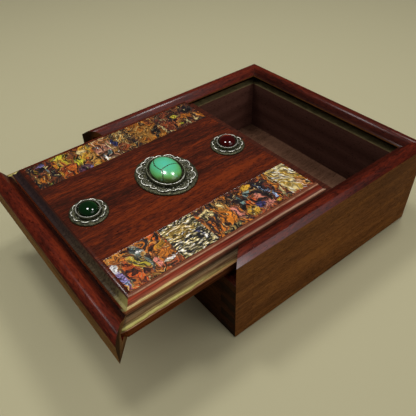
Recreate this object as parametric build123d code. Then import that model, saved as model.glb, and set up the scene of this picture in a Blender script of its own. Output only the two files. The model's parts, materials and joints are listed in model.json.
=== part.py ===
from build123d import *
from math import cos, radians, sin
import os

# A square lidded box of thick wood. The lid is a raised panel that slides out
# towards -Y in grooves, with the front stretch of the rim fixed to its end.
# The origin is the middle of the underside, +Z is up and sizes are in millimetres.
# The lid is drawn partly pulled out, which is its rest pose.

# Walls, and the rim that tops them
side = 150.0
height = 57.5
wall = 11.5
rim_depth = 15.2
finger_count = 8
back_corner_radius = 3.6
foot_bevel = 0.8
rim_outer_run = 3.0
rim_outer_drop = 2.4
rim_inner_run = 6.2
rim_inner_drop = 3.6
rim_lip_run = 1.4
rim_lip_rise = 0.2

# Groove that the lid runs in, its floor measured down from the top
groove_drop = 10.0
groove_height = 5.5
groove_depth = 6.3

# Bottom board, flush with the feet of the walls, with a tongue let into them
bottom_thickness = 12.5
bottom_tongue_low = 4.2
bottom_tongue_thickness = 4.0
bottom_let_in = 4.0
bottom_edge_play = 0.3

# Lid panel
pull_out = 63.7
tongue_thickness = 4.6
tongue_side_play = 0.4
tongue_corner_cut = 3.0
shoulder_play = 0.6
rim_underside_play = 0.3
shoulder_height = 3.4
ledge_side = 1.0
ledge_front = 1.6
ledge_back = 0.9
field_bevel = 2.3
field_rise = 3.1

# Shell strips, with the shares of their length that the tiles take, front to back
strip_width = 23.8
strip_side_margin = 1.9
strip_front_margin = 2.3
strip_back_margin = 1.4
shell_thickness = 1.6
right_tile_shares = (18.0, 12.0, 20.0, 22.0, 29.0, 14.0)
left_tile_shares = (14.5, 25.5, 12.0, 15.0, 18.0, 30.0)

# Stones in their settings: half axes, and the turn of each stone and of its foot about the upright axis
stone_end_inset = 11.1
middle_stone_shift = 1.8
stone_turns = {"green": -5.0, "turquoise": -13.0, "red": -35.0}
foot_turns = {"green": -5.0, "turquoise": 0.0, "red": -24.0}
bezel_wall = 0.6
skirt_edge = 0.5
girdle_share = 0.75
large_sizes = {
    "stone": (12.0, 8.5),
    "stone_height": 6.6,
    "bezel_gap": 1.2,
    "bezel_height": 2.6,
    "lace": (18.3, 15.8),
    "lace_thickness": 0.9,
    "lace_wire": 1.0,
    "lobe_count": 16,
    "lobe_radii": (3.6, 2.7),
    "skirt": (19.4, 16.9),
    "skirt_height": 1.2,
}
small_sizes = {
    "stone": (6.0, 5.0),
    "stone_height": 4.4,
    "bezel_gap": 0.8,
    "bezel_height": 2.2,
    "lace": (9.5, 9.3),
    "lace_thickness": 0.8,
    "lace_wire": 0.8,
    "lobe_count": 10,
    "lobe_radii": (2.9, 2.9),
    "skirt": (10.9, 10.2),
    "skirt_height": 1.0,
}

half = side / 2
inner_half = half - wall
front_top = height - rim_depth
groove_floor = height - groove_drop
groove_half = inner_half + groove_depth
tongue_half = groove_half - tongue_side_play
tongue_top = groove_floor + tongue_thickness
shoulder_half = inner_half - shoulder_play
ledge_height = tongue_top + shoulder_height
field_height = ledge_height + field_rise
field_half_width = shoulder_half - ledge_side - field_bevel
field_front = ledge_front + field_bevel - shoulder_half
field_back = shoulder_half - ledge_back - field_bevel
strip_front = field_front + strip_front_margin
strip_back = field_back - strip_back_margin
strip_middle = (strip_front + strip_back) / 2
strip_length = strip_back - strip_front
strip_offset = field_half_width - strip_side_margin - strip_width / 2
pocket_floor = field_height - shell_thickness
upright = (Align.CENTER, Align.CENTER, Align.MIN)


def slab(size_x, size_y, low, high):
    """A block centred on the Z axis between two heights."""
    return Pos(0, 0, low) * Box(size_x, size_y, high - low, align=upright)


def prism(corners, low, high):
    """A straight-sided solid over a flat outline, between two heights."""
    outline = make_face(Polyline(*corners, close=True))
    return Pos(0, 0, low) * extrude(outline, amount=high - low)


def oval(half_x, half_y, low, high):
    """An upright cylinder with an oval outline, between two heights."""
    return Pos(0, 0, low) * extrude(Ellipse(half_x, half_y), amount=high - low)


def closed_box():
    """The outer form with the lid shut: walls, rim, groove and panel seat."""
    block = slab(side, side, 0, height)
    block = fillet(block.edges().filter_by(Axis.Z).group_by(Axis.Y)[-1], back_corner_radius)
    top = block.faces().sort_by(Axis.Z)[-1]
    block = chamfer(top.edges(), rim_outer_run, rim_outer_drop, reference=top)
    block = chamfer(block.faces().sort_by(Axis.Z)[0].edges(), foot_bevel)
    inner = 2 * inner_half
    lip_drop = rim_inner_drop - rim_lip_rise
    mouth_steps = ((0, rim_inner_drop), (rim_lip_run, lip_drop), (rim_inner_run, 0))
    levels = []
    for run, drop in mouth_steps:
        width = inner + 2 * run
        levels.append(Pos(0, 0, height - drop) * Rectangle(width, width))
    groove = slab(2 * groove_half, 2 * groove_half, groove_floor, groove_floor + groove_height)
    return block - slab(inner, inner, 0, height) - groove - loft(levels[:2]) - loft(levels[1:])


def mitred_sector(turn, low, high):
    """The quarter of the plan that faces -Y, turned about Z."""
    corners = ((0, 0), (-side, -side), (side, -side))
    return Rot(0, 0, turn) * prism(corners, low, high)


def finger_layers(first):
    """Every second layer of the corner joints, as full-size slabs."""
    pitch = front_top / finger_count
    return [slab(side, side, n * pitch, (n + 1) * pitch) for n in range(first, finger_count, 2)]


def wall_zone(turn, first_finger):
    """The space below the rim that belongs to the wall facing -Y, turned about Z."""
    middle = Pos(0, -half + wall / 2, 0) * slab(2 * inner_half, wall, 0, front_top)
    full = Pos(0, -half + wall / 2, 0) * slab(side, wall, 0, front_top)
    fingers = [full & (Rot(0, 0, -turn) * layer) for layer in finger_layers(first_finger)]
    return Rot(0, 0, turn) * middle.fuse(*fingers)


def bottom_panel(play):
    """The board between the walls and its tongue, smaller at its edges by the play."""
    board = 2 * (inner_half - play)
    tongue = board + 2 * bottom_let_in
    tongue_high = bottom_tongue_low + bottom_tongue_thickness
    return slab(board, board, 0, bottom_thickness) + slab(tongue, tongue, bottom_tongue_low, tongue_high)


def walls():
    """Four boards: finger joints at the corners, mitres above them at the rim."""
    shell = closed_box() - bottom_panel(0)
    upper = {"right": 90, "back": 180, "left": 270}
    boards = {}
    for name, turn in upper.items():
        first_finger = 1 if name == "back" else 0
        zone = wall_zone(turn, first_finger).fuse(mitred_sector(turn, front_top, height))
        boards["wall_" + name] = shell & zone
    boards["wall_front"] = shell & wall_zone(0, 1)
    return boards


def lid_rim():
    """The front stretch of the rim, mitred at both ends, with its groove."""
    return closed_box() & mitred_sector(0, front_top + rim_underside_play, height)


def lid_panel():
    """The raised panel: tongue all round, shoulder, ledge, bevel and two pockets."""
    tongue = slab(2 * tongue_half, 2 * tongue_half, groove_floor, tongue_top)
    front_corners = tongue.edges().filter_by(Axis.Z).group_by(Axis.Y)[0]
    tongue = chamfer(front_corners, tongue_corner_cut)
    shoulder = slab(2 * shoulder_half, 2 * shoulder_half, tongue_top, ledge_height)
    field_length = field_back - field_front
    middle = (field_back + field_front) / 2
    top = Rectangle(2 * field_half_width, field_length)
    foot = Rectangle(2 * (field_half_width + field_bevel), field_length + 2 * field_bevel)
    raised = loft([Pos(0, middle, ledge_height) * foot, Pos(0, middle, field_height) * top])
    panel = tongue + shoulder + raised
    pocket = slab(strip_width, strip_length, pocket_floor, field_height)
    for x in (-strip_offset, strip_offset):
        panel -= Pos(x, strip_middle, 0) * pocket
    return panel


def shell_strip(name, x, shares):
    """One strip as separate tiles, butted end to end in the pocket."""
    tiles = {}
    start = strip_front
    for number, share in enumerate(shares, 1):
        length = strip_length * share / sum(shares)
        tile = slab(strip_width, length, pocket_floor, field_height)
        tiles[f"shell_{name}_{number}"] = Pos(x, start + length / 2, 0) * tile
        start += length
    return tiles


def lace_ring(sizes, low):
    """A flat oval edged with rounded lobes, every second one smaller, each pierced."""
    across, along = sizes["lace"]
    thickness = sizes["lace_thickness"]
    count = sizes["lobe_count"]
    widest = max(sizes["lobe_radii"])
    ring = oval(across - widest, along - widest, low, low + thickness)
    holes = []
    for n in range(count):
        radius = sizes["lobe_radii"][n % 2]
        angle = radians(360 * n / count)
        centre = Pos((across - radius) * cos(angle), (along - radius) * sin(angle), low)
        ring += centre * Cylinder(radius, thickness, align=upright)
        holes.append(centre * Cylinder(radius - sizes["lace_wire"], thickness, align=upright))
    return ring.cut(*holes)


def setting(name, y, sizes):
    """Skirt, pierced ring, bezel and domed stone, stacked on the lid's field."""
    stone_x, stone_y = sizes["stone"]
    skirt_x, skirt_y = sizes["skirt"]
    seat = field_height + sizes["skirt_height"]
    inner_x = stone_x + sizes["bezel_gap"]
    inner_y = stone_y + sizes["bezel_gap"]
    bezel_x = inner_x + bezel_wall
    bezel_y = inner_y + bezel_wall
    bezel_top = seat + sizes["bezel_height"]
    foot = oval(skirt_x, skirt_y, field_height, field_height + skirt_edge)
    slope_low = Pos(0, 0, field_height + skirt_edge) * Ellipse(skirt_x, skirt_y)
    slope_high = Pos(0, 0, seat) * Ellipse(*sizes["lace"])
    skirt = foot + loft([slope_low, slope_high])
    bezel = oval(bezel_x, bezel_y, seat, bezel_top) - oval(inner_x, inner_y, seat, bezel_top)
    girdle_height = girdle_share * sizes["bezel_height"]
    girdle = seat + girdle_height
    dome_height = sizes["stone_height"] - girdle_height
    dome = Pos(0, 0, girdle) * scale(Sphere(1), (stone_x, stone_y, dome_height))
    dome &= slab(side, side, girdle, girdle + dome_height)
    stone = oval(stone_x, stone_y, seat, girdle) + dome
    foot_turn = Rot(0, 0, foot_turns[name])
    stone_turn = Rot(0, 0, stone_turns[name])
    lace_opening = stone_turn * oval(bezel_x, bezel_y, seat, bezel_top)
    pieces = {
        "skirt_" + name: foot_turn * skirt,
        "lace_" + name: foot_turn * lace_ring(sizes, seat) - lace_opening,
        "bezel_" + name: stone_turn * bezel,
        "stone_" + name: stone_turn * stone,
    }
    return {node: Pos(0, y, 0) * solid for node, solid in pieces.items()}


def lid():
    """All pieces that move together, drawn with the lid shut."""
    pieces = {"lid_panel": lid_panel(), "lid_rim": lid_rim()}
    pieces.update(shell_strip("right", strip_offset, right_tile_shares))
    pieces.update(shell_strip("left", -strip_offset, left_tile_shares))
    pieces.update(setting("green", strip_front + stone_end_inset, small_sizes))
    pieces.update(setting("turquoise", strip_middle + middle_stone_shift, large_sizes))
    pieces.update(setting("red", strip_back - stone_end_inset, small_sizes))
    return pieces


nodes = walls()
nodes["bottom_panel"] = bottom_panel(bottom_edge_play)
for node, solid in lid().items():
    nodes[node] = Pos(0, -pull_out, 0) * solid

os.makedirs("parts", exist_ok=True)
for node, solid in nodes.items():
    export_step(solid, f"parts/{node}.step")
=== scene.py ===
"""Looks of the slide-lid box: lacquered rosewood, shell strips, and stones in pierced settings."""

import json
import math

import bmesh
import bpy
from mathutils import Matrix, Vector, noise


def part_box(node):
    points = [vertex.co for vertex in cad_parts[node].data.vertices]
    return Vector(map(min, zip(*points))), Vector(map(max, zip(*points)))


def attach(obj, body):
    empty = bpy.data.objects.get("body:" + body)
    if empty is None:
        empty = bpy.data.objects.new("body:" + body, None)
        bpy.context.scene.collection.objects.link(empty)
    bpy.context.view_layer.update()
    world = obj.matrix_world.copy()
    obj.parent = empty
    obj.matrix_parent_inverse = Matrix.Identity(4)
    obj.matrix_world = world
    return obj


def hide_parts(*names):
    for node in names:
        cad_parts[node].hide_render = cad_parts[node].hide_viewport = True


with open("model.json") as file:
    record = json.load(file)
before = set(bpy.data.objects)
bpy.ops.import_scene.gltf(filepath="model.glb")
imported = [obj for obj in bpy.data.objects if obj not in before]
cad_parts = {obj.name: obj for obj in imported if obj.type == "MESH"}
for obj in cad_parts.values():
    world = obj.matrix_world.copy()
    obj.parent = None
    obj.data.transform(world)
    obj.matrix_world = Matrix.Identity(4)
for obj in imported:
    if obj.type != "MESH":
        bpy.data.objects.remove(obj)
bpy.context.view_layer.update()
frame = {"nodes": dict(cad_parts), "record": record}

MM = 0.001
# In millimetres: the width of the panel's bevel, and how far behind its front the field starts
BEVEL = 3.3
FIELD_FRONT = 10.4


def box(node):
    """A node's lowest and highest corner, in millimetres."""
    return [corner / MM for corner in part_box(node)]


# Sizes in millimetres, read from the frame or set off from what it gives
wall_low, wall_high = box("wall_right")
panel_low, panel_high = box("lid_panel")
outer_half = wall_high.x
inner_half = wall_low.x
rim_top = wall_high.z
lip_height = rim_top - 3.4
lip_out = inner_half + 1.4
mouth_out = inner_half + 6.2
groove_out = inner_half + 6.3
groove_floor = panel_low.z
groove_top = groove_floor + 5.5
field_top = panel_high.z
ledge_top = field_top - 3.1
field_half = inner_half - 0.6 - BEVEL
lid_middle = (panel_low.y + panel_high.y) / 2
strip_edge = box("shell_right_6")[1].x
pulled_out = box("lid_rim")[0].y + outer_half


class Value:
    """A number in a shader that is summed and multiplied like a plain one."""

    def __init__(self, shader, socket):
        self.shader = shader
        self.socket = socket

    def __add__(self, other):
        return self.shader.math("ADD", self, other)

    def __sub__(self, other):
        return self.shader.math("SUBTRACT", self, other)

    def __rsub__(self, other):
        return self.shader.math("SUBTRACT", other, self)

    def __mul__(self, other):
        return self.shader.math("MULTIPLY", self, other)

    def __abs__(self):
        return self.shader.math("ABSOLUTE", self)

    __radd__ = __add__
    __rmul__ = __mul__


class Shader:
    """A material or a world, built by short calls that take and return sockets and values."""

    def __init__(self, name, world=False):
        self.material = (bpy.data.worlds if world else bpy.data.materials).new(name)
        self.material.use_nodes = True
        self.nodes = self.material.node_tree.nodes
        self.links = self.material.node_tree.links
        self.surface = self.nodes["Background" if world else "Principled BSDF"]
        self.colour = None
        # object coordinates, which are the frame's, in millimetres, and the normal's parts
        self.coordinates = self.node("TexCoord").outputs
        self.place = self.vector("MULTIPLY", self.coordinates["Object"], grey(1 / MM))
        self.x, self.y, self.z = self.split(self.place)
        self.right, self.back, self.up = self.split(self.coordinates["Normal"])

    def node(self, kind, values=(), **settings):
        made = self.nodes.new("ShaderNode" + kind)
        for key, value in settings.items():
            setattr(made, key, value)
        for socket, value in zip(made.inputs, values):
            self.feed(socket, value)
        return made

    def feed(self, socket, value):
        if isinstance(value, Value):
            value = value.socket
        if isinstance(value, bpy.types.NodeSocket):
            self.links.new(value, socket)
        elif socket.type == "RGBA":
            socket.default_value = (*value, 1.0)
        else:
            socket.default_value = value

    def set(self, **values):
        """Sets or links the surface shader's sockets, named with _ for a space."""
        for key, value in values.items():
            self.feed(self.surface.inputs[key.replace("_", " ")], value)

    def math(self, operation, *values):
        return Value(self, self.node("Math", values, operation=operation).outputs[0])

    def vector(self, operation, a, b):
        return self.node("VectorMath", (a, b), operation=operation).outputs[0]

    def split(self, vector):
        return [Value(self, part) for part in self.node("SeparateXYZ", (vector,)).outputs]

    def join(self, x, y, z):
        return self.node("CombineXYZ", (x, y, z)).outputs[0]

    def noise(self, vector, scale, detail=3.0, roughness=0.55, colour=False):
        made = self.node("TexNoise", (vector, 0.0, scale, detail, roughness))
        return made.outputs["Color"] if colour else Value(self, made.outputs[0])

    def rise(self, value, low, high):
        """0 below low and 1 above high, with a smooth step between; high may be the lower."""
        made = self.node("MapRange", (value, low, high), interpolation_type="SMOOTHSTEP")
        return Value(self, made.outputs[0])

    def ramp(self, factor, *stops):
        made = self.node("ValToRGB", (factor,))
        elements = made.color_ramp.elements
        elements.remove(elements[-1])
        for number, (position, colour) in enumerate(stops):
            element = elements[0] if number == 0 else elements.new(position)
            element.position = position
            element.color = (*colour, 1.0)
        return made.outputs[0]

    def between(self, factor, dark, bright, low=0.35, high=0.62):
        """A colour between two by a noise, which seldom leaves low to high."""
        return self.ramp(factor, (low, dark), (high, bright))

    def profile(self, distance, stops):
        """Colours by distance; the last stop's distance is the ramp's whole length."""
        length = stops[-1][0]
        shares = ((spot / length, colour) for spot, colour in stops)
        return self.ramp(self.math("DIVIDE", distance, length), *shares)

    def mix(self, factor, a, b, blend="MIX"):
        made = self.node("Mix", data_type="RGBA", blend_type=blend)
        for number, value in ((0, factor), (6, a), (7, b)):
            self.feed(made.inputs[number], value)
        return made.outputs[2]

    def tint(self, colour, by):
        return self.mix(1.0, colour, by, "MULTIPLY")

    def paint(self, mask, colour):
        """Lays a colour over the piece's own, as far as the mask says."""
        self.colour = self.mix(mask, self.colour, colour)

    def stain(self, mask, tint):
        """Multiplies the piece's own colour by a tint, as far as the mask says."""
        self.paint(mask, self.tint(self.colour, tint))

    def bump(self, height, strength, distance):
        made = self.node("Bump", (strength, distance))
        self.feed(made.inputs["Height"], height)
        return made.outputs["Normal"]


def grey(level):
    return (level,) * 3


def shaded(colour, factor):
    return tuple(factor * part for part in colour)


# Rosewood tones, dark to bright
RED_WOOD = (
    (0.026, 0.0085, 0.0045), (0.048, 0.0105, 0.005), (0.076, 0.0135, 0.0055), (0.17, 0.027, 0.006),
)
RIM_WOOD = (
    (0.028, 0.0065, 0.004), (0.06, 0.0095, 0.005), (0.095, 0.013, 0.006), (0.15, 0.021, 0.007),
)
# the walls' upright sides: browner than the rim's top as a painted reflection of the floor
SIDE_WOOD_PAINTED_REFLECTION = (
    (0.098, 0.036, 0.01), (0.138, 0.051, 0.013), (0.172, 0.064, 0.015), (0.22, 0.084, 0.019),
)
# the lid rim's upright face: browner and lighter than its top as painted light
RIM_FACE_PAINTED_LIGHT = ((0.12, 0.056, 0.018), (0.17, 0.082, 0.027), (0.21, 0.105, 0.036), (0.27, 0.14, 0.05))
# the front wall's faces: darker than the other walls' sides as painted shade under the lid
FRONT_WOOD_PAINTED_SHADE = (
    (0.022, 0.0085, 0.0035), (0.034, 0.013, 0.005), (0.046, 0.017, 0.006), (0.062, 0.024, 0.008),
)
INSIDE_WOOD = (
    (0.086, 0.036, 0.025), (0.094, 0.039, 0.027), (0.101, 0.042, 0.029), (0.11, 0.046, 0.032),
)
FLOOR_WOOD = (
    (0.075, 0.036, 0.021), (0.095, 0.046, 0.027), (0.115, 0.056, 0.033), (0.14, 0.07, 0.042),
)
CUT_ENDS = (0.118, 0.044, 0.012)
# cut ends that face the front: darker as painted shade
FRONT_ENDS_PAINTED_SHADE = (0.02, 0.01, 0.0045)
MITRE_ENDS = (0.036, 0.018, 0.007)
PORE_TINT = (0.42, 0.4, 0.4)
FURROW_TINT = (0.5, 0.42, 0.4)
# painted shade on the rim's inner slope towards the groove's mouth
MOUTH_SHADE_TINT = (0.2, 0.4, 0.55)
KHAKI = (0.16, 0.125, 0.055)
# the groove's back wall: painted shadow
GROOVE_SHADOW_BLACK = (0.004, 0.003, 0.002)


def grain_tones(s, shift, grain, tones, lift=0.0):
    """Colour and pores of wood whose grain runs along X or Y; the shift picks its own figure."""
    x, y, z = s.split(s.vector("ADD", s.place, shift))
    along, across = (x, y) if grain == "X" else (y, x)

    def figure(stretch, *noise_settings):
        """Noise drawn out along the grain: the smaller the stretch, the longer."""
        return s.noise(s.join(stretch * along, across, z), *noise_settings)

    across = across + 12.0 * figure(0.018, 0.05, 2.0)
    broad = figure(0.12, 0.09, 2.0)
    streaks = figure(0.09, 0.42, 5.0, 0.66)
    fibres = figure(0.17, 1.5, 3.0, 0.6)
    tone = 0.8 * broad + 0.65 * streaks + 0.75 * fibres + (lift - 0.6)
    colour = s.ramp(tone, *zip((0.3, 0.44, 0.56, 0.74), tones))
    pore = s.rise(figure(0.22, 2.2, 1.5), 0.6, 0.68)
    return s.mix(pore, colour, s.tint(colour, PORE_TINT)), pore


def lacquer(s, pore, gloss, roughness=0.16, index=1.5):
    """A clear coat over wood whose pores show as fine dents."""
    s.set(Base_Color=s.colour, Roughness=0.6, Specular_IOR_Level=0.0)
    s.set(Coat_Weight=gloss, Coat_Roughness=roughness, Coat_IOR=index)
    s.set(Normal=s.bump(-1.0 * pore, 0.25, 0.0001))
    return s.material


def cut_across(s, grain):
    """1 on faces that cut across the grain."""
    return s.rise(abs(s.right if grain == "X" else s.back), 0.62, 0.72)


def end_grain(s, mask, ends):
    """Cut ends, with faint growth rings."""
    rings = s.noise(s.vector("MULTIPLY", s.place, (0.4, 0.4, 1.6)), 0.9, 4.0)
    s.paint(mask, s.between(rings, shaded(ends, 0.75), shaded(ends, 1.25)))


def paint_mouth_shade(s, reach, raised, strength):
    """Darkens the rim's inner slope towards the mouth: painted shade."""
    down = s.rise(reach, mouth_out - 0.5, lip_out - 0.6)
    above = s.rise(s.z, groove_top + 0.3, groove_top + 0.5)
    s.stain(down * above * raised * strength, MOUTH_SHADE_TINT)


def tip_sheen(s):
    """The near rim's sheen, brightest at its front tip and fading backwards."""
    levels = ((0.0, 1.0), (4.0, 0.65), (12.0, 0.28), (45.0, 0.16), (85.0, 0.05))
    return s.profile(s.y + outer_half, [(behind, grey(level)) for behind, level in levels])


WALL_TONES = (RIM_WOOD, SIDE_WOOD_PAINTED_REFLECTION)


def board(name, grain, shift, mouth_shade=0.0, tones=WALL_TONES, sheen=0.45, tip=False, shade=1.0):
    """A wall: red on its rim, browner on its sides as painted reflection, and dark inside.

    Its groove holds a black band of painted shadow above a khaki floor. One argument sets the
    painted shade on the rim's inner slope towards the mouth, tones are the rim's and the sides',
    tip asks for the near rim's sheen, and shade darkens the inside and the groove's floor as
    painted shade.
    """
    s = Shader(name)
    red, pore = grain_tones(s, shift, grain, tones[0])
    brown, _ = grain_tones(s, shift, grain, tones[1], -0.02)
    # shade darkens the inside's tones and the groove's floor below: painted shade
    inner, _ = grain_tones(s, shift, grain, [shaded(tone, shade) for tone in INSIDE_WOOD])
    # upright faces take the browner side tones: painted reflection of the floor
    raised = s.rise(s.up, 0.25, 0.45)
    s.colour = s.mix(raised, brown, red)
    ends = cut_across(s, grain)
    end_grain(s, ends, CUT_ENDS)
    # cut ends facing the front are darker: painted shade
    end_grain(s, ends * s.rise(s.back, -0.5, -0.7), FRONT_ENDS_PAINTED_SHADE)
    reach = s.math("MAXIMUM", abs(s.x), abs(s.y))
    inside = s.rise(reach, inner_half + 0.5, inner_half + 0.2)
    under_groove = s.rise(s.z, groove_floor - 0.05, groove_floor - 0.15)
    s.paint(inside * under_groove, inner)
    # painted shade on the rim's inner slope towards the groove's mouth
    paint_mouth_shade(s, reach, raised, mouth_shade)
    # the groove's back wall is painted black: painted shadow
    in_groove = s.rise(reach, groove_out + 0.5, groove_out + 0.2)
    above = s.rise(s.z, groove_floor + 0.1, groove_floor + 0.3)
    below = s.rise(s.z, groove_top + 0.15, groove_top + 0.05)
    s.paint(in_groove * above * below, GROOVE_SHADOW_BLACK)
    on_floor = s.math("COMPARE", s.z, groove_floor, 0.1)
    worn = s.noise(s.vector("ADD", s.place, shift), 0.25, 4.0)
    raw = s.between(worn, shaded(KHAKI, 0.55 * shade), shaded(KHAKI, shade), 0.3, 0.65)
    s.paint(on_floor * in_groove * raised, raw)
    if tip:
        return lacquer(s, pore, s.mix(raised, grey(0.055), tip_sheen(s)), 0.18, 2.6)
    return lacquer(s, pore, sheen * raised + 0.08, 0.24)


# The panel's side, as (millimetres down the profile, colour): the bevel, the ledge from 5, the
# shoulder from 6.4, the tongue's top from 9.8 and its edge from 16.3; first near the lid's front,
# then further back. The pink near 16.2 is a painted highlight on the tongue's arris, the dark band
# where the shoulder meets the tongue's top is painted shade, and the far profile is darker as
# painted shade further back.
NEAR_PROFILE = (
    (0.3, (0.25, 0.055, 0.02)), (1.4, (0.29, 0.042, 0.02)), (3.2, (0.28, 0.06, 0.032)),
    (4.6, (0.27, 0.1, 0.05)), (5.3, (0.5, 0.38, 0.16)), (6.2, (0.54, 0.42, 0.17)),
    (6.8, (0.46, 0.16, 0.055)), (8.4, (0.17, 0.065, 0.028)), (9.8, (0.085, 0.048, 0.022)),
    (11.2, (0.155, 0.1, 0.048)), (12.6, (0.115, 0.062, 0.026)), (13.8, (0.24, 0.18, 0.065)),
    (14.6, (0.46, 0.42, 0.14)), (15.2, (0.34, 0.31, 0.09)), (15.9, (0.14, 0.076, 0.022)),
    (16.2, (0.42, 0.24, 0.14)), (16.8, (0.12, 0.032, 0.008)), (20.9, (0.11, 0.03, 0.009)),
)
FAR_PROFILE = (
    (0.3, (0.17, 0.045, 0.022)), (1.4, (0.135, 0.018, 0.01)), (3.2, (0.175, 0.026, 0.013)),
    (4.6, (0.18, 0.045, 0.03)), (5.4, (0.29, 0.18, 0.12)), (6.2, (0.3, 0.18, 0.11)),
    (6.8, (0.24, 0.08, 0.045)), (8.4, (0.1, 0.04, 0.024)), (9.8, (0.06, 0.036, 0.02)),
    (11.2, (0.115, 0.078, 0.042)), (12.8, (0.065, 0.032, 0.015)), (13.9, (0.052, 0.024, 0.012)),
    (14.8, (0.14, 0.07, 0.03)), (15.6, (0.28, 0.16, 0.055)), (16.1, (0.34, 0.17, 0.065)),
    (16.6, (0.1, 0.03, 0.012)), (17.2, (0.07, 0.022, 0.009)), (20.9, (0.06, 0.02, 0.009)),
)


def panel_wood(name):
    """The raised panel: a streaked red field with a painted sheen, khaki ledge and shoulder, and
    yellow sapwood, with painted highlight, reflection and shade on its sides and front.
    """
    s = Shader(name)
    beyond = abs(s.x)
    from_front = s.y - panel_low.y
    # a brighter stretch of the field, 30 mm to the right of its middle: painted sheen
    offset = (s.x - 30.0) * (1 / 16.0)
    painted_sheen_lift = 0.1 * s.math("EXPONENT", -1.0 * offset * offset)
    s.colour, pore = grain_tones(s, (13.0, 40.0, 5.0), "Y", RED_WOOD, painted_sheen_lift)
    jag = s.noise(s.vector("MULTIPLY", s.place, (1.0, 0.25, 1.0)), 0.7, 5.0, 0.7)
    streak = s.noise(s.vector("MULTIPLY", s.place, (1.0, 0.06, 1.0)), 1.3, 3.0, 0.65)
    s.stain(0.5 * s.rise(streak, 0.53, 0.62), FURROW_TINT)
    off_field = s.rise(s.z, field_top - 0.1, field_top - 0.3)

    # the sides, by the distance down their profile from the field's edge to the tongue's foot
    sway = s.noise(s.join(3.0, 0.16 * s.y, s.z), 0.5, 4.0, 0.7)
    path = beyond - s.z + (field_top - field_half)
    path = path + 1.8 * sway + 1.4 * jag - 1.6
    near, far = s.profile(path, NEAR_PROFILE), s.profile(path, FAR_PROFILE)
    # further back the side turns to the far profile, darker as painted shade
    side = s.mix(s.rise(50.0 * jag + from_front - 25.0, 22.0, 68.0), near, far)
    lines = s.noise(s.join(1.6 * s.x, 0.035 * s.y, 1.6 * s.z), 1.2, 3.0, 0.65)
    shades = s.ramp(lines, (0.36, grey(0.55)), (0.5, grey(0.95)), (0.62, grey(1.4)))
    s.paint(off_field, s.tint(side, shades))

    # the back's bevel, up to the mitre lines at its corners
    behind = s.y - lid_middle - field_half
    past_mitre = s.rise(behind - beyond + field_half, -0.1, 0.1)
    back = off_field * s.rise(behind, -1.2, -0.8) * past_mitre
    s.paint(back, s.between(streak, (0.03, 0.01, 0.007), (0.075, 0.02, 0.011)))

    # the worn border between the near shell strip and the field's edge, and a pale line along
    # that edge, partly wear and partly painted highlight
    on_top = s.rise(s.z, field_top - 0.4, field_top - 0.2)
    border = s.rise(s.x, strip_edge + 0.1, strip_edge + 0.4)
    s.paint(0.8 * border * on_top, (0.19, 0.066, 0.033))
    arris_wear_and_highlight = s.rise(s.x, field_half - 0.45, field_half - 0.25) * on_top
    s.paint(arris_wear_and_highlight * s.rise(jag, 0.3, 0.55), (0.42, 0.22, 0.13))

    # the front's bevel and ledge, up to their mitre lines: black-brown, olive to one side, yellow
    # at that corner, and dark along the field's edge; the black-brown is painted shade, the olive
    # a painted reflection and the yellow painted light
    depth = FIELD_FRONT - from_front
    above_ledge = s.rise(s.z, ledge_top - 0.3, ledge_top - 0.15)
    front = s.rise(depth - beyond + field_half, -0.1, 0.1) * above_ledge
    along_front = 14.0 * jag + s.x - 7.0
    brown = s.between(streak, (0.016, 0.01, 0.01), (0.034, 0.02, 0.018))
    front_reflection = s.between(streak, (0.022, 0.014, 0.008), (0.066, 0.048, 0.026))
    front_reflection = s.mix(s.rise(along_front, -20.0, 45.0), brown, front_reflection)
    front_reflection = s.mix(0.9 * s.rise(along_front, 50.0, 62.0), front_reflection, (0.26, 0.22, 0.07))
    s.paint(0.8 * front * s.rise(depth, -0.35, -0.15), (0.022, 0.012, 0.01))
    s.paint(front * off_field * s.rise(depth, 0.2, 0.6), front_reflection)

    inner_gloss = s.rise(beyond, field_half - 0.3, field_half - 0.8)
    gloss = inner_gloss * s.rise(from_front, FIELD_FRONT + 0.3, FIELD_FRONT + 0.8)
    low = s.rise(s.z, ledge_top - 0.3, ledge_top - 0.6)
    return lacquer(s, pore, (0.9 * gloss + 0.03) * (1.0 - 0.9 * low))


def rim_wood(name):
    """The rim's front stretch: red on top, browner and lighter on its face as painted light, dark
    ends on the mitres.
    """
    s = Shader(name)
    shift = (60.0, 7.0, 31.0)
    red, pore = grain_tones(s, shift, "X", RIM_WOOD, 0.02)
    # the face's lighter, browner tones: painted light
    brown, _ = grain_tones(s, shift, "X", RIM_FACE_PAINTED_LIGHT, 0.05)
    raised = s.rise(s.up, 0.25, 0.45)
    s.colour = s.mix(raised, brown, red)
    # painted shade on the rim's inner slope towards the groove's mouth
    paint_mouth_shade(s, pulled_out - s.y, raised, 1.0)
    end_grain(s, cut_across(s, "X"), MITRE_ENDS)
    return lacquer(s, pore, 0.14 * raised + 0.06, 0.24)


def bottom_wood(name):
    """The bottom board: tan-brown, less glossy."""
    s = Shader(name)
    s.colour, pore = grain_tones(s, (5.0, 90.0, 0.0), "Y", FLOOR_WOOD)
    return lacquer(s, pore, 0.35)


# How far off a line of the rim's section a vertex may lie and still count as on it
CLOSE = 0.02
# The rim's lines, as (distance out, height), the widths of the edges' rounding, the swelling of
# its inner slope, and the angle from which an edge counts as sharp
RIM_LINES = ((outer_half - 3.0, rim_top), (outer_half, rim_top - 2.4), (mouth_out, rim_top))
RIM_ROUNDING, MITRE_ROUNDING, EDGE_ROUNDING = 1.1, 0.4, 0.15
BULGE = 0.5
SHARP = math.radians(32)


def spots(part, slide):
    """An edge's or a face's vertices, in millimetres from the middle of the rim it belongs to."""
    return [vert.co / MM - Vector((0, slide, 0)) for vert in part.verts]


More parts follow.
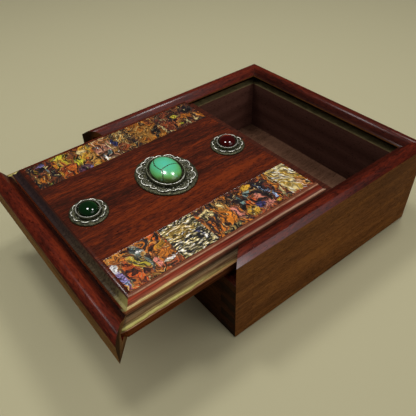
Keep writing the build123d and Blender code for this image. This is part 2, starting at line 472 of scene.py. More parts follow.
def touches(edge, slide, across, height):
    """Whether an edge runs at a distance from the rim's middle and at a height."""
    return all(
        abs(max(abs(x), abs(y)) - across) < CLOSE and abs(z - height) < CLOSE
        for x, y, z in spots(edge, slide)
    )


def on_mitre(edge, slide):
    """Whether an edge outlines a mitred end at a front corner of the rim."""
    return all(
        z > groove_top and y < 0 and abs(abs(y) - abs(x)) < CLOSE for x, y, z in spots(edge, slide)
    )


def on_slope(face, slide):
    """Whether a face belongs to the rim's inner slope, between its lip and its mouth."""
    return all(
        lip_height - CLOSE < z < rim_top + CLOSE
        and lip_out - CLOSE < max(abs(x), abs(y)) < mouth_out + CLOSE
        for x, y, z in spots(face, slide)
    )


def swell(body, slide, axis):
    """Rounds the rim's inner slope outwards; the axis points across the slope."""
    middle = Vector((0, slide * MM, 0))
    normal = Vector((1, 0, 0)) if axis == "X" else Vector((0, 1, 0))
    for share in (0.2, 0.4, 0.65):
        out = (lip_out + share * (mouth_out - lip_out)) * MM
        for face in [face for face in body.faces if on_slope(face, slide)]:
            cut_at = math.copysign(out, (face.calc_center_median() - middle).dot(normal))
            cut = bmesh.ops.bisect_plane(
                body, geom=[face, *face.edges, *face.verts],
                plane_co=middle + cut_at * normal, plane_no=normal,
            )
            for item in cut["geom_cut"]:
                if isinstance(item, bmesh.types.BMVert):
                    item.co.z += 4 * BULGE * MM * share * (1 - share)


def rounded_board(node, slide, rim_axis):
    """A board with softened edges, more along the rim's lines, and a rounded inner slope."""
    mesh = frame["nodes"][node].data.copy()
    mesh.name = f"{node}_board"
    body = bmesh.new()
    body.from_mesh(mesh)
    bmesh.ops.remove_doubles(body, verts=body.verts, dist=0.005 * MM)
    flat = math.radians(0.4)
    bmesh.ops.dissolve_limit(body, angle_limit=flat, verts=body.verts, edges=body.edges)

    def soften(edges, width, segments):
        bmesh.ops.bevel(
            body, geom=edges, offset=width * MM, offset_type="OFFSET", segments=segments,
            profile=0.5, affect="EDGES", clamp_overlap=True,
        )

    if rim_axis:
        swell(body, slide, rim_axis)
        on_rim = [e for e in body.edges if any(touches(e, slide, *line) for line in RIM_LINES)]
        soften(on_rim, RIM_ROUNDING, 4)
        soften([e for e in body.edges if on_mitre(e, slide)], MITRE_ROUNDING, 2)
    sharp = [e for e in body.edges if e.is_manifold and e.calc_face_angle(0) > SHARP]
    soften(sharp, EDGE_ROUNDING, 2)
    bmesh.ops.recalc_face_normals(body, faces=body.faces)
    for face in body.faces:
        face.smooth = True
    body.to_mesh(mesh)
    body.free()
    mesh.set_sharp_from_angle(angle=SHARP)
    return add(f"{node}_board", mesh)


def add(name, data):
    """A new object in the scene."""
    made = bpy.data.objects.new(name, data)
    bpy.context.scene.collection.objects.link(made)
    return made


def slot_of(node):
    subparts = frame["record"]["subparts"]
    return next(part["material_slot"] for part in subparts if part["node"] == node)


def coat(piece, material):
    piece.data.materials.clear()
    piece.data.materials.append(material)


def finish_piece(piece, node, material, body):
    """A piece that takes a solid's place."""
    coat(piece, material)
    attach(piece, body)
    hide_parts(node)
    slot_of(node)


def dress_boards():
    # the front wall's sides take darker tones: painted shade under the lid
    front_tones = (RED_WOOD, FRONT_WOOD_PAINTED_SHADE)
    right = board("rosewood_right", "Y", (0.0, 0.0, 0.0), 0.6, tip=True)
    left = board("rosewood_left", "Y", (40.0, 11.0, 70.0))
    # the back wall's inside and groove floor darkened by shade: painted shade for a wall in less
    # light
    back = board("rosewood_back", "X", (17.0, 80.0, 20.0), 0.9, sheen=0.22, shade=0.66)
    front = board("rosewood_front", "X", (90.0, 33.0, 45.0), tones=front_tones)
    boards = {
        "wall_right": ("box", "X", right),
        "wall_left": ("box", "X", left),
        "wall_back": ("box", "Y", back),
        "wall_front": ("box", "", front),
        "bottom_panel": ("box", "", bottom_wood("bottom_wood")),
        "lid_panel": ("lid", "", panel_wood("rosewood_panel")),
        "lid_rim": ("lid", "Y", rim_wood("rosewood_rim")),
    }
    for node, (body, rim_axis, material) in boards.items():
        slide = pulled_out if body == "lid" else 0.0
        finish_piece(rounded_board(node, slide, rim_axis), node, material, body)


# Shell tiles
CREAM = (0.66, 0.52, 0.22)
TAN = (0.44, 0.22, 0.04)
ORANGE = (0.52, 0.155, 0.01)
FLAME = (0.55, 0.085, 0.008)
GOLD = (0.54, 0.3, 0.022)
DARK = (0.01, 0.008, 0.01)
BROWN = (0.13, 0.045, 0.012)
RUST = (0.26, 0.05, 0.012)
PINK = (0.56, 0.19, 0.14)
WHITE = (0.92, 0.9, 0.84)
TEAL = (0.16, 0.3, 0.28)
BLUE = (0.022, 0.028, 0.11)
ICE = (0.3, 0.4, 0.58)
VIOLET = (0.26, 0.22, 0.5)
PLUM = (0.055, 0.02, 0.06)
LIME = (0.5, 0.46, 0.03)
OLIVE = (0.17, 0.14, 0.045)

# A tile's bands are drawn out in strokes, along it at a turn of 0 and across it at 90, and bent by
# so many millimetres; lines is the strength of its outlines, pitch and grit are the scales of its
# bands and fine shades, and specks of glint lie where a noise passes rare. A dab is its place in
# millimetres from the tile's outer front corner, towards the lid's middle and to the back, its
# half sizes that way, its colour, and if not as usual its strength and turn.
TILES = {
    "shell_right_1": dict(
        bands=(DARK, RUST, ORANGE, TAN, DARK), seed=3, turn=45, bend=6, lines=0.8,
        level=0.88, dabs=(
            (10, 1.4, 9, 1.7, VIOLET, 0.85, 4), (16, 1.3, 2.6, 1.4, WHITE),
            (4.5, 1.4, 1.6, 1.4, ICE, 0.8), (9, 7.3, 6.8, 2.9, FLAME, 0.95, 8),
            (9.5, 4.1, 6.4, 0.7, DARK, 0.9, 6), (12.5, 12, 5, 2.6, LIME, 0.55, 30),
            (12, 11, 5, 0.6, DARK, 0.9, 35), (13.5, 13.4, 4.6, 0.6, DARK, 0.9, 30),
            (9, 16.2, 5.6, 0.8, TEAL, 0.7, -6), (9.5, 17.3, 6.5, 0.7, DARK, 0.9, -6),
            (19, 15, 4.4, 2.8, TEAL, 0.75), (17.5, 15.6, 1.4, 0.9, WHITE, 0.9, 30),
            (20.5, 14, 2.6, 0.6, DARK, 0.9, 40), (19.6, 16.6, 2.6, 0.6, DARK, 0.9, 40),
            (20.8, 5.5, 2.8, 4.6, ORANGE, 0.7), (1.2, 8, 1.4, 5.6, FLAME, 0.8),
        ),
    ),
    "shell_right_2": dict(
        bands=(DARK, BROWN, ORANGE, FLAME, DARK), seed=11, turn=-45, bend=6, pitch=0.34, lines=0.7,
        level=0.95, dabs=(
            (6.5, 1.2, 3.8, 1.5, PINK), (2.2, 6, 2, 6.4, RUST), (12, 7, 6, 5, DARK),
            (12, 7, 5.2, 4.2, ORANGE, 0.95), (11.2, 8, 1.2, 1.3, RUST, 0.6),
            (14.6, 8, 2.2, 2.6, GOLD, 0.6), (5.4, 7.2, 0.8, 3.9, WHITE, 0.8),
            (19.5, 3, 4, 0.8, DARK, 0.9, -40), (20, 9, 4, 0.8, DARK, 0.8, -40),
        ),
    ),
    "shell_right_3": dict(
        bands=(DARK, DARK, OLIVE, CREAM, WHITE), seed=23, turn=0, bend=1.6, pitch=0.95, lines=0,
        level=0.95, grit=1.15, glint=WHITE, dabs=(
            (17, 8, 5, 8, GOLD, 0.35), (9, 17.6, 4.6, 0.6, DARK), (7, 16, 3.2, 0.6, WHITE, 0.7),
            (10, 15.4, 3.4, 0.7, BLUE, 0.8), (4, 8, 2.6, 6, DARK, 0.4),
        ),
    ),
    "shell_right_4": dict(
        bands=(DARK, BROWN, ORANGE, RUST, ORANGE), seed=31, turn=88, bend=5, lines=1,
        level=1.08, dabs=(
            (9.5, 13, 7, 4.2, ORANGE, 0.85), (9, 19.2, 5.4, 2.3, PINK, 0.75),
            (19, 16, 4.4, 4.2, TAN, 0.7), (10, 2.2, 9, 0.7, DARK, 0.9, -4),
            (12, 5, 7, 0.7, DARK, 0.9, 5), (9, 7.8, 7.6, 0.6, DARK, 0.9, -5),
            (10, 10.4, 6, 0.5, DARK, 0.8, 4), (18, 6, 3.3, 3.6, CREAM, 0.95),
            (21.6, 3.2, 1.8, 3.2, DARK, 0.8), (20.5, 12.5, 2.2, 1, DARK, 0.85),
            (20, 18, 2.8, 0.9, DARK, 0.8, 20), (18.2, 15.2, 2, 0.9, CREAM),
            (1.5, 10.5, 1.8, 6, OLIVE, 0.85), (7, 16.6, 5, 0.5, DARK, 0.7, 12),
        ),
    ),
    "shell_right_5": dict(
        bands=(DARK, RUST, DARK, ORANGE, BROWN), seed=47, turn=72, bend=7, lines=0.9,
        level=1, rare=0.67, dabs=(
            (4.5, 4.4, 3.9, 3.4, GOLD, 0.85), (4.4, 3.6, 3.6, 0.5, DARK, 0.8, -30),
            (15.5, 3.2, 6.2, 3.2, DARK, 0.85, -10), (14, 3.6, 5, 0.6, TEAL, 0.7, -12),
            (3.7, 14.2, 3.1, 4.2, PINK), (6.2, 10.3, 2.6, 3, BLUE, 0.95),
            (10.6, 8.2, 1.9, 4, FLAME), (17.2, 10.6, 1.3, 4.2, TEAL, 0.9, 42),
            (21, 12.5, 2.4, 2.8, GOLD, 0.85), (16.5, 18.6, 7.2, 2.6, DARK, 0.9, 12),
            (15, 19.2, 5.4, 0.6, ICE, 0.5, 14), (7.4, 21.4, 2.7, 0.9, ICE, 0.9, -18),
            (11, 14.2, 3, 1.9, PINK, 0.6), (12.5, 24, 5.6, 0.8, DARK, 0.9, -20),
            (17, 26.2, 6, 1, ORANGE, 0.9, -12), (18, 28.2, 5, 0.6, CREAM, 0.8, -12),
            (6, 26.4, 5, 0.8, CREAM, 0.7, -14), (1.8, 20, 1, 1.2, LIME),
            (12, 7.5, 5, 0.9, DARK, 0.95, 60), (8.5, 12.5, 4.5, 0.9, DARK, 0.95, 70),
            (15, 13.5, 6, 1.1, DARK, 0.95, 65), (11, 17.5, 5, 0.9, DARK, 0.95, 50),
            (19, 22.5, 4, 1.2, DARK, 0.95, 70), (0.6, 12, 1.5, 12, RUST, 0.7),
        ),
    ),
    "shell_right_6": dict(
        bands=(OLIVE, GOLD, CREAM, CREAM, WHITE), seed=59, turn=45, bend=4, pitch=0.5, lines=0.12,
        level=0.82, grit=1, glint=WHITE, dabs=(
            (5.5, 11.2, 4.9, 3, ORANGE, 0.7), (0.7, 7, 0.9, 8, RUST, 0.8),
            (16, 2.2, 5, 0.7, WHITE, 0.6, 45), (21.5, 10, 2, 3, TEAL, 0.3),
            (12, 8, 5, 0.5, BROWN, 0.7, 45), (0.6, 8, 1.7, 10, RUST),
            (14, 12, 5, 0.5, BROWN, 0.7, 40), (17, 6.5, 5, 0.5, BROWN, 0.6, 42),
        ),
    ),
    "shell_left_1": dict(
        bands=(DARK, DARK, BROWN, RUST, BROWN), seed=67, turn=90, bend=5, pitch=0.36, lines=0.8,
        level=0.72, rare=0.67, dabs=(
            (16.8, 4.8, 3.6, 2.4, ORANGE, 0.95), (22.3, 6.9, 0.8, 1.3, LIME, 1),
            (2.2, 8.6, 1.2, 2.3, VIOLET, 0.6), (5.5, 9.8, 1.9, 0.7, CREAM, 0.8),
            (10, 10.2, 2.2, 1, TEAL, 0.7), (13, 8.6, 3.6, 0.6, GOLD, 0.7),
            (8, 4.6, 4, 0.6, GOLD, 0.6, 8), (12, 1.6, 7, 0.6, TAN, 0.7), (14, 12.4, 6, 0.9, DARK),
        ),
    ),
    "shell_left_2": dict(
        bands=(BROWN, RUST, ORANGE, GOLD, OLIVE), seed=71, turn=80, bend=5, lines=0.6,
        level=0.85, dabs=(
            (2.2, 5.5, 2.2, 3.7, LIME, 0.95), (8, 8, 4.3, 2.2, GOLD, 0.7),
            (8.5, 7.2, 3, 0.8, LIME, 0.7), (18.5, 5.8, 4.9, 4, FLAME, 0.75),
            (21, 6, 2.4, 0.6, DARK), (13, 13.8, 3.9, 3, LIME, 0.95), (21, 14, 3.2, 4.2, PLUM),
            (16, 22.2, 6.6, 3, TAN, 0.85), (5, 18.8, 2.6, 2.5, CREAM),
            (5, 12.7, 3.2, 2.6, BROWN, 0.8), (10, 18.6, 3, 2.2, GOLD, 0.8),
            (22.8, 17.8, 1, 1.3, VIOLET, 0.8),
        ),
    ),
    "shell_left_3": dict(
        bands=(BROWN, TAN, PINK, CREAM, TAN), seed=83, turn=85, bend=5, pitch=0.4, lines=0.7,
        level=0.7, glint=WHITE, dabs=(
            (10.2, 4.4, 4.1, 4.6, PINK, 0.55), (20, 1.6, 3.2, 0.6, DARK),
            (20, 3.2, 3.2, 0.7, WHITE), (20, 4.8, 3.2, 0.6, DARK), (14, 8.4, 4, 1.2, PINK, 0.8),
            (17.4, 6.6, 1.6, 1.6, TEAL, 0.85), (3.8, 6, 2.8, 6, ORANGE, 0.6),
            (12.5, 9.8, 4.8, 0.6, CREAM),
        ),
    ),
    "shell_left_4": dict(
        bands=(DARK, BROWN, TAN, BROWN, DARK), seed=97, turn=55, bend=7, pitch=0.42, lines=0.9,
        level=0.95, grit=1.05, rare=0.65, dabs=(
            (10.3, 6.6, 8, 4, TAN, 0.5), (18, 4.4, 4.4, 3.4, RUST, 0.85),
            (10.2, 1.8, 4.1, 1.6, BLUE, 1), (12, 11.6, 9, 1.7, DARK, 0.8),
            (7.5, 5.6, 5, 0.5, CREAM, 0.8, 15), (9.5, 8.2, 6, 0.5, CREAM, 0.7, 10),
            (6, 3.6, 4, 0.5, DARK, 0.9, 20),
        ),
    ),
    "shell_left_5": dict(
        bands=(BROWN, ORANGE, TAN, ORANGE, RUST), seed=101, turn=40, bend=6, lines=0.5,
        level=0.64, grit=0.95, dabs=(
            (10.7, 6.5, 7.6, 5.8, TAN, 0.6), (14, 14.5, 6.4, 1.2, DARK, 0.9, 40),
            (18, 14, 5.4, 1.2, DARK, 0.9, 40), (20.6, 12, 3, 1, DARK, 0.8, 40),
            (8, 7, 2.2, 2.2, ORANGE, 0.8), (4, 15.5, 3, 2.4, RUST, 0.8),
        ),
    ),
    "shell_left_6": dict(
        bands=(DARK, BROWN, DARK, RUST, TAN), seed=113, turn=70, bend=6, pitch=0.32, lines=0.8,
        level=0.95, grit=0.95, rare=0.67, dabs=(
            (15.3, 4.8, 6, 4.3, RUST), (17, 0.8, 6.4, 0.8, CREAM, 0.8),
            (19.6, 13.3, 1.1, 1.3, LIME, 1), (9.6, 14.5, 1.6, 2, LIME, 0.6),
            (5.8, 24.5, 4.2, 6, DARK, 0.85), (19.2, 28.5, 3.1, 1.9, ORANGE, 0.95),
            (13.5, 21.2, 2.8, 4.2, ORANGE, 0.8), (20, 18, 3, 0.8, CREAM, 0.7),
            (20, 21.5, 3.2, 0.8, DARK), (19.6, 24, 3, 0.7, CREAM, 0.7), (12.4, 11.6, 6, 0.7, DARK),
            (5, 9, 3.6, 2, RUST, 0.7),
        ),
    ),
}


def shell(
    node, bands, dabs, seed, turn, bend, lines, level, pitch=0.3, grit=0.75, glint=CREAM, rare=0.66
):
    """Lacquered shell: bent bands and dabs of colour, broken up by dark lines and fine strokes."""
    s = Shader(node)
    low, high = box(node)
    edge, inwards = (high.x, -1.0) if low.x > 0 else (low.x, 1.0)
    flat = s.join(inwards * (s.x - edge), s.y - low.y, seed)
    waves = [s.noise(flat, *settings, colour=True) for settings in ((0.16, 1.0), (0.55, 2.0))]

    def bent(*reaches):
        """The tile's coordinates, pushed about by a broad and a fine wave."""
        spot = flat
        for wave, reach in zip(waves, reaches):
            push = s.vector("SUBTRACT", wave, grey(0.5))
            push = s.vector("MULTIPLY", push, (2 * reach, 2 * reach, 0.0))
            spot = s.vector("ADD", spot, push)
        return spot

    u, v, _ = s.split(bent(bend, 0.22 * bend))
    cos, sin = math.cos(math.radians(turn)), math.sin(math.radians(turn))
    p, q = cos * u + sin * v, cos * v - sin * u

    def drawn(stretch, scale, detail, roughness, apart=0.0):
        """Noise drawn out along the strokes; what lies apart has its own."""
        return s.noise(s.join(stretch * q, p, seed + apart), scale, detail, roughness)

    s.colour = s.ramp(drawn(0.35, pitch, 3.0, 0.62), *zip((0.36, 0.45, 0.51, 0.57, 0.66), bands))
    strokes = drawn(0.26, 0.9, 3.0, 0.6)
    ragged = bent(2.2, 1.3)

    def daub(centre_u, centre_v, half_u, half_v, colour, strength=0.9, lean=0):
        turned = (0.0, 0.0, -math.radians(lean))
        values = (ragged, (centre_u, centre_v, seed), turned, (half_u, half_v, 1.0))
        spot = s.node("Mapping", values, vector_type="TEXTURE").outputs[0]
        reach = s.node("VectorMath", (spot,), operation="LENGTH").outputs["Value"]
        s.paint(strength * s.rise(1.6 * strokes + Value(s, reach), 1.95, 1.65), colour)

    for dab in dabs:
        daub(*dab)
    outline = abs(drawn(0.4, 0.42, 2.0, 0.6, 20.0) - 0.5)
    s.paint(lines * s.rise(outline, 0.042, 0.018), DARK)
    steps = ((0.39, 0.01), (0.445, 0.28), (0.5, 0.95), (0.59, 1.7))
    steps = ((spot, grey(part * level)) for spot, part in steps)
    shade = s.ramp(drawn(0.28, grit, 3.0, 0.6, 40.0), *steps)
    calm = 0.35 * s.rise(s.noise(flat, 0.19, 1.0), 0.48, 0.6)
    s.colour = s.tint(s.colour, s.mix(calm, shade, grey(level)))
    s.paint(s.rise(drawn(0.3, 1.0, 2.0, 0.6, 60.0), rare - 0.03, rare + 0.02), glint)
    s.set(Base_Color=s.colour, Roughness=0.45, Specular_IOR_Level=0.2)
    s.set(Coat_Weight=1.0, Coat_Roughness=0.07, Coat_IOR=1.5)
    s.set(Normal=s.bump(strokes, 0.4, 0.0003))
    return s.material


def dress_tiles():
    for node, recipe in TILES.items():
        piece = frame["nodes"][node]
        coat(piece, shell(node, **recipe))
        slot_of(node)


# Settings
def new_piece(name, vertices, faces, smooth=True):
    mesh = bpy.data.meshes.new(name)
    mesh.from_pydata([tuple(v) for v in vertices], [], faces)
    mesh.validate()
    mesh.update()
    if smooth:
        mesh.polygons.foreach_set("use_smooth", [True] * len(mesh.polygons))
    return add(name, mesh)


def around(count):
    """The cosine and sine of even steps round a circle."""
    angles = (2 * math.pi * n / count for n in range(count))
    return [(math.cos(angle), math.sin(angle)) for angle in angles]


def quads(rings, count, closed=False):
    """Faces between each ring of count points and the next, and from the last to the first."""
    faces = []
    for n in range(rings if closed else rings - 1):
        here, there = n * count, (n + 1) % rings * count
        for k in range(count):
            turned = (k + 1) % count
            faces.append((here + k, here + turned, there + turned, there + k))
    return faces


def caps(rings, count):
    """Flat faces over the first and the last ring."""
    return [tuple(range(count))[::-1], tuple((rings - 1) * count + k for k in range(count))]


def tube(points, radius, closed=False, sides=8):
    """A round wire along points; an open wire has flat ends."""
    count = len(points)
    vertices = []
    for n, point in enumerate(points):
        before = points[n - 1] if closed or n > 0 else point
        after = points[(n + 1) % count] if closed or n < count - 1 else point
        heading = (after - before).normalized()
        side = heading.cross(Vector((0, 0, 1))).normalized()
        up = side.cross(heading)
        vertices += [point + radius * (cos * side + sin * up) for cos, sin in around(sides)]
    return vertices, quads(count, sides, closed) + ([] if closed else caps(count, sides))


def ball(centre, radius, rings=6, sides=10):
    """A small closed ball."""
    vertices = [centre + Vector((0, 0, radius))]
    for ring in range(1, rings):
        tilt = math.pi * ring / rings
        for cos, sin in around(sides):
            spot = Vector((math.sin(tilt) * cos, math.sin(tilt) * sin, math.cos(tilt)))
            vertices.append(centre + radius * spot)
    vertices.append(centre - Vector((0, 0, radius)))
    last = len(vertices) - 1
    faces = []
    for k in range(sides):
        turned = (k + 1) % sides
        faces.append((0, 1 + k, 1 + turned))
        faces.append((last, last - sides + turned, last - sides + k))
        for start in range(1, 1 + (rings - 2) * sides, sides):
            faces.append((start + k, start + sides + k, start + sides + turned, start + turned))
    return vertices, faces


def merge(*shapes):
    """Several (vertices, faces) shapes as one."""
    vertices, faces = [], []
    for some_vertices, some_faces in shapes:
        start = len(vertices)
        vertices += some_vertices
        faces += [tuple(start + index for index in face) for face in some_faces]
    return vertices, faces


def cast(piece, voxel):
    """Melts the wires of a piece into one casting."""
    remesh = piece.modifiers.new("cast", "REMESH")
    remesh.mode = "VOXEL"
    remesh.voxel_size = voxel
    remesh.use_smooth_shade = True
    piece.modifiers.new("soften", "SMOOTH").iterations = 1
    graph = bpy.context.evaluated_depsgraph_get()
    mesh = bpy.data.meshes.new_from_object(piece.evaluated_get(graph))
    piece.modifiers.clear()
    piece.data = mesh


# In millimetres and degrees. stone, lace and skirt are half axes, wire and curl_wire radii; the
# lace's lobes take their radius and their inset by turns; its outer wire dips at the notches
# between them; lobe_lines are the insets of the arcs inside a large lobe. wire_depth is how far
# down the outer wire is bright, ring_shine how bright the bezel's ring is, and lit the side of it
# that is bright, a painted highlight.
SMALL_SETTING = dict(
    stone=(6.0, 5.0), gap=0.8, lace=(9.5, 9.3), skirt=(10.9, 10.2), lobes=10,
    lobe_radii=(2.9, 2.9), lobe_insets=(0.0, 0.0), wire=0.36, curl_wire=0.22, dip=0.4,
    lobe_lines=(2.1,), voxel=0.11, wire_depth=0.34, ring_shine=0.45, lit=None,
)
SETTINGS = {
    "turquoise": dict(
        stone=(12.0, 8.5), gap=1.2, lace=(18.3, 15.8), skirt=(19.4, 16.9), lobes=16,
        lobe_radii=(4.3, 2.3), lobe_insets=(0.0, 0.7), wire=0.38, curl_wire=0.24, dip=0.25,
        lobe_lines=(1.35, 2.3), voxel=0.12, wire_depth=0.5, ring_shine=0.8, lit=(0.88, -0.48),
        turn=-13, foot_turn=0,
    ),
    "green": dict(SMALL_SETTING, turn=-5, foot_turn=-5),
    "red": dict(SMALL_SETTING, turn=-35, foot_turn=-24),
}
BEZEL_WALL = 0.6
STEPS_PER_LOBE = 40


class Seat:
    """Places points given in a setting's own millimetres: across, along and up from its foot."""

    def __init__(self, node, turn):
        low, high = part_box(node)
        self.centre = Vector(((low.x + high.x) / 2, (low.y + high.y) / 2, low.z))
        self.rise = (high.z - low.z) / MM
        self.turn = Matrix.Rotation(math.radians(turn), 3, "Z")

    def __call__(self, x, y, z):
        return self.centre + self.turn @ Vector((x, y, z)) * MM


def lobe_centres(facts):
    half_x, half_y = facts["lace"]
    for n, (cos, sin) in enumerate(around(facts["lobes"])):
        radius = facts["lobe_radii"][n % 2]
        inset = radius + facts["lobe_insets"][n % 2]
        yield (half_x - inset) * cos, (half_y - inset) * sin, radius


def scallop(facts, inset):
    """Points round all the lobes, inset from their edge, each with its nearness to a notch.

    On each ray from the middle the outermost lobe counts, and between the lobes an oval.
    """
    circles = [(x, y, r - inset) for x, y, r in lobe_centres(facts)]
    base_x, base_y = (reach - max(facts["lobe_radii"]) for reach in facts["lace"])
    points = []
    for cos, sin in around(STEPS_PER_LOBE * facts["lobes"]):
        reach, lean = 1 / math.hypot(cos / base_x, sin / base_y), 1.0
        for x, y, r in circles:
            nearest = x * cos + y * sin
            gap = x * x + y * y - nearest * nearest
            if gap < r * r and nearest + math.sqrt(r * r - gap) > reach:
                reach = nearest + math.sqrt(r * r - gap)
                spot = Vector((reach * cos - x, reach * sin - y)).normalized()
                lean = 1.0 - spot.dot(Vector((x, y)).normalized())
        points.append((reach * cos, reach * sin, min(1.0, 1.6 * lean)))
    return points


def oval_points(half_x, half_y, count):
    return [(half_x * cos, half_y * sin) for cos, sin in around(count)]


def lace(name, facts):
    """The openwork: a scalloped wire, arcs and balls in its lobes, and a ring round the bezel."""
    at = Seat(f"lace_{name}", facts["foot_turn"])
    wire, thin = facts["wire"], facts["curl_wire"]
    outline = scallop(facts, wire)
    outline = [at(x, y, at.rise - wire - facts["dip"] * notch) for x, y, notch in outline]
    shapes = [tube(outline, wire * MM, closed=True)]
    ring = [reach + facts["gap"] + BEZEL_WALL + thin for reach in facts["stone"]]
    lean = math.radians(facts["turn"] - facts["foot_turn"])
    cos, sin = math.cos(lean), math.sin(lean)
    spots = oval_points(*ring, 120)
    spots = [at(x * cos - y * sin, x * sin + y * cos, 0.1) for x, y in spots]
    shapes.append(tube(spots, thin * MM, closed=True))

    def clear_of_ring(x, y):
        across, along = x * cos + y * sin, y * cos - x * sin
        return math.hypot(across / (ring[0] + thin), along / (ring[1] + thin)) > 1.0

    for n, (x, y, radius) in enumerate(lobe_centres(facts)):
        if n % 2 and facts["lobe_insets"][1]:
            shapes.append(ball(at(x, y, 0.35), 0.45 * MM))
            continue
        out = math.atan2(y, x)
        for inset in facts["lobe_lines"]:
            reach = radius - inset
            arc = []
            for degrees in range(-120, 121, 10):
                spin = out + math.radians(degrees)
                spot = (x + reach * math.cos(spin), y + reach * math.sin(spin))
                if reach > 2 * thin and clear_of_ring(*spot):
                    arc.append(at(*spot, thin + 0.05))
            if len(arc) > 3:
                shapes.append(tube(arc, thin * MM))
        shapes.append(ball(at(x, y, 0.3), 0.42 * MM))
    piece = new_piece(f"lace_{name}_wire", *merge(*shapes))
    cast(piece, facts["voxel"] * MM)
    return piece


def bezel(name, facts):
    """The thin raised ring round the stone, with a rolled edge."""
    at = Seat(f"bezel_{name}", facts["turn"])
    wall, roll = BEZEL_WALL, 0.3
    profile = [(0.0, 0.0), (wall, 0.0), (wall * 0.9, at.rise * 0.6), (wall, at.rise - 0.55)]
    for k in range(7):
        angle = math.radians(-40 + 220 * k / 6)
        out = wall * (0.5 + 0.5 * math.cos(angle))
        profile.append((out, at.rise - roll + roll * math.sin(angle)))
    profile.append((0.0, at.rise * 0.5))
    half_x, half_y = (reach + facts["gap"] for reach in facts["stone"])
    segments = 160
    vertices = []
    for x, y in oval_points(half_x, half_y, segments):
        normal = Vector((x / half_x**2, y / half_y**2, 0)).normalized()
        vertices += [at(x + normal.x * out, y + normal.y * out, height) for out, height in profile]
    faces = [(a, d, c, b) for a, b, c, d in quads(segments, len(profile), closed=True)]
    return new_piece(f"bezel_{name}_ring", vertices, faces)


def lathe(at, half_x, half_y, profile, segments):
    """A closed oval form from rings of (share of the half axes, height), foot first."""
    vertices = []
    for share, height in profile:
        for x, y in oval_points(half_x, half_y, segments):
            vertices.append(at(x * share, y * share, height))
    return vertices, quads(len(profile), segments) + caps(len(profile), segments)


def skirt(name, facts):
    """The dark foot under the openwork, with a rolled edge."""
    at = Seat(f"skirt_{name}", facts["foot_turn"])
    shares = (
        (0.975, 0.0), (0.992, 0.12), (1.0, 0.35), (0.996, 0.58), (0.98, 0.8), (0.955, 0.93),
        (0.92, 1.0), (0.4, 1.0),
    )
    profile = [(share, height * at.rise) for share, height in shares]
    return new_piece(f"skirt_{name}_foot", *lathe(at, *facts["skirt"], profile, 128))


# The turquoise's cracks, in millimetres from its centre across and along the box
CRACKS = (
    (
        (-10.8, -0.2), (-7.0, -3.0), (-3.8, -4.5), (-0.3, -4.8), (2.8, -4.2), (5.5, -5.3),
        (7.8, -7.0),
    ),
    ((2.8, -4.2), (2.4, -2.2), (2.2, 0.0), (2.1, 3.0), (2.0, 6.2), (2.0, 8.6)),
)
CRACK_HALF, CRACK_DEPTH = 0.42, 0.1


def crack_distance(x, y):
    """The distance in millimetres from the nearest crack."""
    nearest = math.inf
    for line in CRACKS:
        for (ax, ay), (bx, by) in zip(line, line[1:]):
            dx, dy = bx - ax, by - ay
            share = ((x - ax) * dx + (y - ay) * dy) / (dx * dx + dy * dy)
            share = max(0.0, min(1.0, share))
            nearest = min(nearest, math.hypot(x - ax - share * dx, y - ay - share * dy))
    return nearest


def stone(name, facts):
    """A polished cabochon; the turquoise has fine grooves and an attribute that darkens them."""
    cracked = name == "turquoise"
    rings, segments = (150, 360) if cracked else (40, 120)
    at = Seat(f"stone_{name}", facts["turn"])
    ring_low, ring_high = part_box(f"bezel_{name}")
    girdle = 0.75 * (ring_high.z - ring_low.z) / MM
    dome = at.rise - girdle
    profile = [(0.92, 0.0), (0.985, 0.75 * girdle)]
    for ring in range(rings + 1):
        tilt = 0.5 * math.pi * ring / (rings + 0.5)
        profile.append((math.cos(tilt), girdle + dome * math.sin(tilt)))
    half_axes = [0.98 * half for half in facts["stone"]]
    vertices, faces = lathe(at, *half_axes, profile, segments)
    cracks = [0.0] * len(vertices)
    if cracked:
        for index in range(2 * segments, len(vertices)):
            x, y = (vertices[index].xy - at.centre.xy) / MM
            wander = 0.35 * noise.noise(Vector((x, y, 4.0)) * 0.9)
            cracks[index] = max(0.0, 1.0 - crack_distance(x + wander, y - wander) / CRACK_HALF)
            vertices[index] -= Vector((0, 0, CRACK_DEPTH * MM * cracks[index]))
    piece = new_piece(f"stone_{name}_cabochon", vertices, faces)
    if cracked:
        attribute = piece.data.attributes.new("crack", "FLOAT", "POINT")
        attribute.data.foreach_set("value", cracks)
    return piece


def distance_towards(s, node, direction):
    """Millimetres from a node's middle, measured in a direction over the lid."""
    low, high = box(node)
    middle = (low + high) / 2
    return direction[0] * (s.x - middle.x) + direction[1] * (s.y - middle.y)


def silver(name, node, depth, shine, hollow, lit=None):
    """Antique silver: bright on its highest edges, or those on its lit side as a painted
    highlight, and dark below.
    """
    foot, top = (corner.z for corner in box(node))
    s = Shader(name)
    tarnish = s.noise(s.place, 0.8, 4.0, 0.6)
    high = s.rise(s.z, top - depth, top - 0.3 * depth)
    bright = high * s.rise(s.up, 0.3, 0.85) * s.rise(tarnish, 0.36, 0.5)
    # brighter on the ring's lit side alone: a painted highlight
    if lit:
        bright = bright * s.rise(distance_towards(s, node, lit), 5.0, 9.5)
    tones = shaded((0.009, 0.01, 0.005), hollow), shaded((0.075, 0.078, 0.042), hollow)
    on_curls = s.rise(s.z, foot + 0.36, foot + 0.5) * s.rise(s.up, 0.5, 0.95)
    s.colour = s.between(tarnish, *tones, low=0.36)
    s.paint(on_curls, (0.22, 0.22, 0.14))
    s.paint(bright, shaded((0.95, 0.94, 0.82), shine))
    s.set(Base_Color=s.colour, Metallic=0.4, Roughness=0.3 * tarnish + 0.2)
    s.set(Normal=s.bump(s.noise(s.place, 2.5, 3.0), 0.25, 0.0002))
    return s.material


